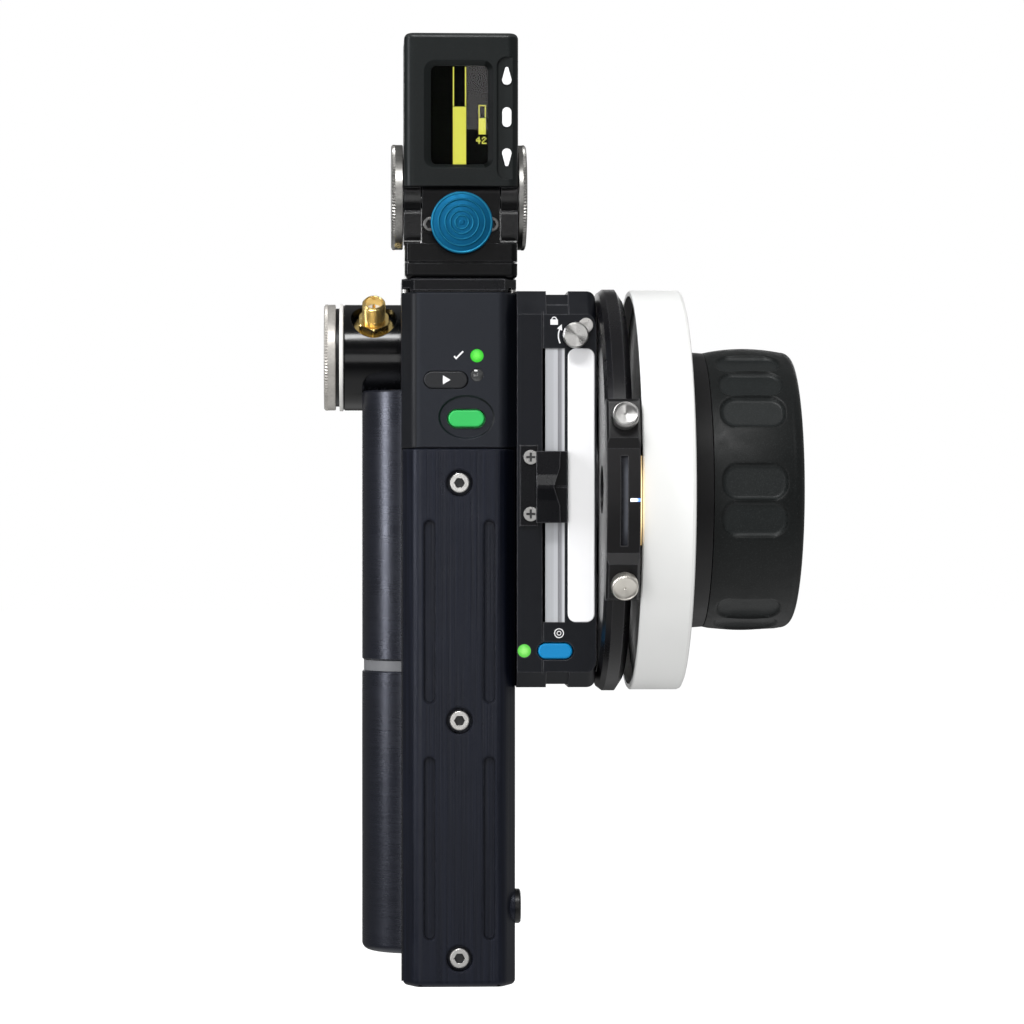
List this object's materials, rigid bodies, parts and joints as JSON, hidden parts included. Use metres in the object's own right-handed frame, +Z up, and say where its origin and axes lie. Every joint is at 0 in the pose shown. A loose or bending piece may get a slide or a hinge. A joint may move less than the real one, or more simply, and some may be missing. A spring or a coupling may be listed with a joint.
{
  "type": "lens control hand unit",
  "caption": "Black upright hand unit for remote lens control, with a rubber hand wheel and white marking ring on the right, a slider, a battery tube and a tilting display.",
  "frame": {"origin": "on the grip's flat foot, midway across its front cover", "axes": "+X towards the hand wheel, +Y away from the operator, +Z up along the grip"},
  "size_m": [0.1261, 0.1144, 0.2522],
  "materials": {
    "panel_black": "satin",
    "grip_black": "satin",
    "tube_black": "satin",
    "tube_gloss": "gloss",
    "knurl_silver": "brushed",
    "turned_silver": "brushed",
    "screw_steel": "brushed",
    "socket_gold": "gloss",
    "insulator_white": "gloss",
    "seal_white": "matte",
    "ring_white": "satin",
    "strip_white": "gloss",
    "track_grey": "satin",
    "collar_grey": "matte",
    "socket_black": "satin",
    "flange_black": "satin",
    "hub_black": "satin",
    "wheel_rubber": "matte",
    "thumb_black": "satin",
    "case_grey": "matte",
    "tilt_black": "satin",
    "window_glass": "gloss",
    "screen": "gloss",
    "key_white": "gloss",
    "run_black": "satin",
    "start_green": "gloss",
    "lens_blue": "gloss",
    "rocker_blue": "satin",
    "led_green": "gloss",
    "led_off": "gloss",
    "index_amber": "gloss",
    "index_glaze": "gloss",
    "board_green": "matte",
    "switch_grey": "matte",
    "cell_wrap": "gloss"
  },
  "bodies": {
    "handle": {"panel_housing": "panel_black", "grip_cover": "grip_black", "grip_frame": "panel_black", "grip_screws": "screw_steel", "ready_led": "led_green", "run_led": "led_off", "panel_board": "board_green", "tact_switches": "switch_grey", "main_board": "board_green", "antenna_tube": "tube_gloss", "tube_seal_ring": "seal_white", "antenna_socket": "socket_gold", "antenna_insulator": "insulator_white", "battery_holder": "tube_black", "data_socket": "socket_black", "slider_housing": "panel_black", "slider_track": "track_grey", "marking_strip": "strip_white", "guide_rods": "screw_steel", "lens_led": "led_green", "lock_pivot": "turned_silver", "index_flange": "flange_black", "encoder_body": "panel_black", "knob_bearings": "screw_steel", "mount_plate": "panel_black", "mount_screws": "screw_steel", "tilt_base": "tilt_black", "rocker_screws": "screw_steel", "hinge_axle": "screw_steel"},
    "run_key": {"run_button": "run_black"},
    "start_key": {"start_button": "start_green"},
    "lens_key": {"lens_button": "lens_blue"},
    "cap": {"tube_cap": "knurl_silver"},
    "battery": {"battery_shell": "tube_black", "battery_collar": "collar_grey", "battery_cell": "cell_wrap"},
    "slider": {"slider_carriage": "thumb_black", "slider_button": "thumb_black", "carriage_screws": "screw_steel"},
    "lock": {"lock_lever": "turned_silver"},
    "hand_wheel": {"knob_spindle": "screw_steel", "knob_hub": "hub_black", "marking_ring": "ring_white", "knob_grip": "wheel_rubber", "knob_cap": "hub_black"},
    "index": {"index_carriage": "flange_black", "index_window": "index_glaze", "index_light": "index_amber"},
    "upper_screw": {"upper_index_screw": "turned_silver"},
    "lower_screw": {"lower_index_screw": "turned_silver"},
    "display": {"display_case": "case_grey", "display_back": "case_grey", "display_window": "window_glass", "display_panel": "screen"},
    "key_up": {"up_key": "key_white"},
    "key_set": {"set_key": "key_white"},
    "key_down": {"down_key": "key_white"},
    "tilt_left": {"left_tilt_knob": "knurl_silver"},
    "tilt_right": {"right_tilt_knob": "knurl_silver"},
    "rocker": {"zoom_rocker": "rocker_blue"}
  },
  "joints": [
    {"name": "hand_wheel_turn", "type": "hinge", "parent": "handle", "child": "hand_wheel", "pos_m": [0.052, 0.011, 0.1315], "axis": [1, 0, 0], "range_deg": [-150, 150]},
    {"name": "index_turn", "type": "hinge", "parent": "handle", "child": "index", "pos_m": [0.041, 0.011, 0.1315], "axis": [1, 0, 0], "range_deg": [-60, 60]},
    {"name": "upper_screw_turn", "type": "hinge", "parent": "index", "child": "upper_screw", "pos_m": [0.0412, -0.04511, 0.14973], "axis": [0, -0.9511, 0.309], "range_deg": [-180, 180]},
    {"name": "lower_screw_turn", "type": "hinge", "parent": "index", "child": "lower_screw", "pos_m": [0.0412, -0.0429, 0.1075], "axis": [0, -0.9135, -0.4067], "range_deg": [-180, 180]},
    {"name": "slider_travel", "type": "slide", "parent": "handle", "child": "slider", "axis": [0, 0, 1], "range_m": [-0.025, 0.025]},
    {"name": "lock_swing", "type": "hinge", "parent": "handle", "child": "lock", "pos_m": [0.0334, -0.0115, 0.175], "axis": [0, 1, 0], "range_deg": [0, 80]},
    {"name": "run_press", "type": "slide", "parent": "handle", "child": "run_key", "axis": [0, 1, 0], "range_m": [0, 0.0006], "stiffness_N_per_m": 1500},
    {"name": "start_press", "type": "slide", "parent": "handle", "child": "start_key", "axis": [0, 1, 0], "range_m": [0, 0.0006], "stiffness_N_per_m": 1500},
    {"name": "lens_press", "type": "slide", "parent": "handle", "child": "lens_key", "axis": [0, 1, 0], "range_m": [0, 0.0005], "stiffness_N_per_m": 1500},
    {"name": "cap_turn", "type": "hinge", "parent": "handle", "child": "cap", "pos_m": [-0.0345, 0.031, 0.168], "axis": [1, 0, 0], "range_deg": [-180, 180]},
    {"name": "battery_pull", "type": "slide", "parent": "handle", "child": "battery", "axis": [0, 0, -1], "range_m": [0, 0.09]},
    {"name": "display_tilt", "type": "hinge", "parent": "handle", "child": "display", "pos_m": [0.0005, 0.006, 0.21], "axis": [-1, 0, 0], "range_deg": [0, 75]},
    {"name": "up_press", "type": "slide", "parent": "display", "child": "key_up", "axis": [0, 1, 0], "range_m": [0, 0.0005], "stiffness_N_per_m": 1200},
    {"name": "set_press", "type": "slide", "parent": "display", "child": "key_set", "axis": [0, 1, 0], "range_m": [0, 0.0005], "stiffness_N_per_m": 1200},
    {"name": "down_press", "type": "slide", "parent": "display", "child": "key_down", "axis": [0, 1, 0], "range_m": [0, 0.0005], "stiffness_N_per_m": 1200},
    {"name": "tilt_left_turn", "type": "hinge", "parent": "handle", "child": "tilt_left", "pos_m": [-0.016, 0.006, 0.21], "axis": [1, 0, 0], "range_deg": [-180, 180]},
    {"name": "tilt_right_turn", "type": "hinge", "parent": "handle", "child": "tilt_right", "pos_m": [0.017, 0.006, 0.21], "axis": [1, 0, 0], "range_deg": [-180, 180]},
    {"name": "rocker_tilt", "type": "hinge", "parent": "handle", "child": "rocker", "pos_m": [0.0005, -0.0015, 0.2018], "axis": [1, 0, 0], "range_deg": [-9, 9], "stiffness_Nm_per_rad": 0.06}
  ]
}
